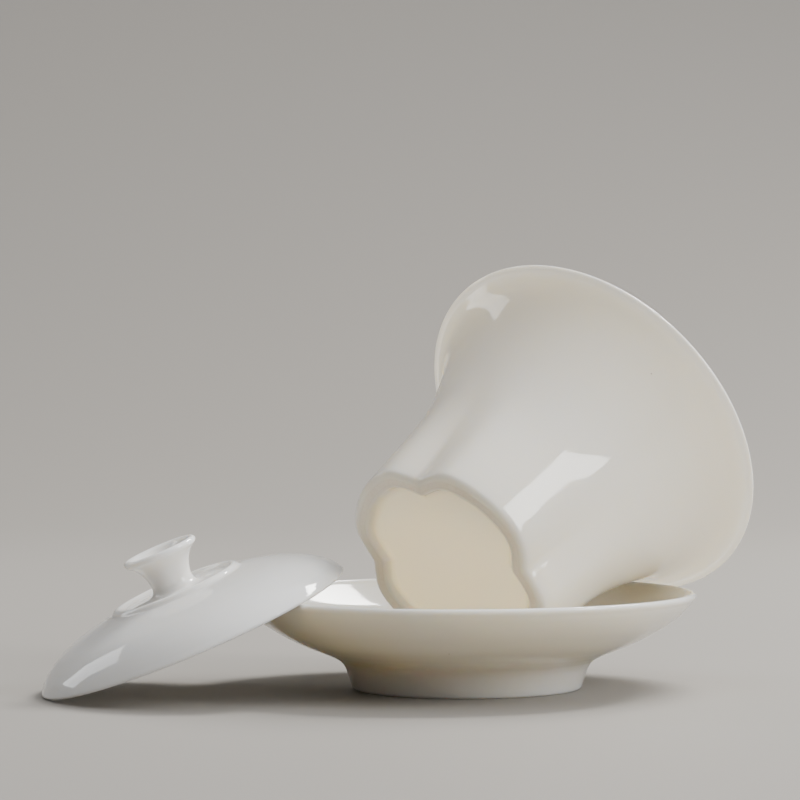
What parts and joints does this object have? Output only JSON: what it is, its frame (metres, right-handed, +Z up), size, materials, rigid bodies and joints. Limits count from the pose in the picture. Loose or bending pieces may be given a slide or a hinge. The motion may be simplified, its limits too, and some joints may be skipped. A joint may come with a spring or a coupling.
{
  "type": "gaiwan",
  "caption": "Lidded tea bowl with a four-lobed foot and a wide flared rim, lying tipped on its footed saucer, with the domed lid leaning on the saucer's lip.",
  "frame": {"origin": "centre of the saucer's foot ring, in the plane it stands on", "axes": "+Z up along the saucer's axis; the lid leans on the saucer from -X and the bowl's mouth points towards +X +Y and upwards"},
  "size_m": [0.1848, 0.1214, 0.1108],
  "materials": {
    "saucer_glaze": "glossy translucent ivory glaze",
    "bowl_glaze": "glossy translucent ivory glaze",
    "lid_glaze": "glossy translucent white glaze"
  },
  "bodies": {
    "saucer": {"saucer_dish": "saucer_glaze", "saucer_foot_ring": "saucer_glaze"},
    "bowl": {"bowl_body": "bowl_glaze", "bowl_foot_ring": "bowl_glaze"},
    "lid": {"lid_dome": "lid_glaze", "lid_knob": "lid_glaze"}
  },
  "joints": [
    {"name": "bowl_lift", "type": "slide", "parent": "saucer", "child": "bowl", "axis": [0, 0, 1], "range_m": [0, 0.08]},
    {"name": "lid_lift", "type": "slide", "parent": "saucer", "child": "lid", "axis": [0, 0, 1], "range_m": [0, 0.12]}
  ]
}
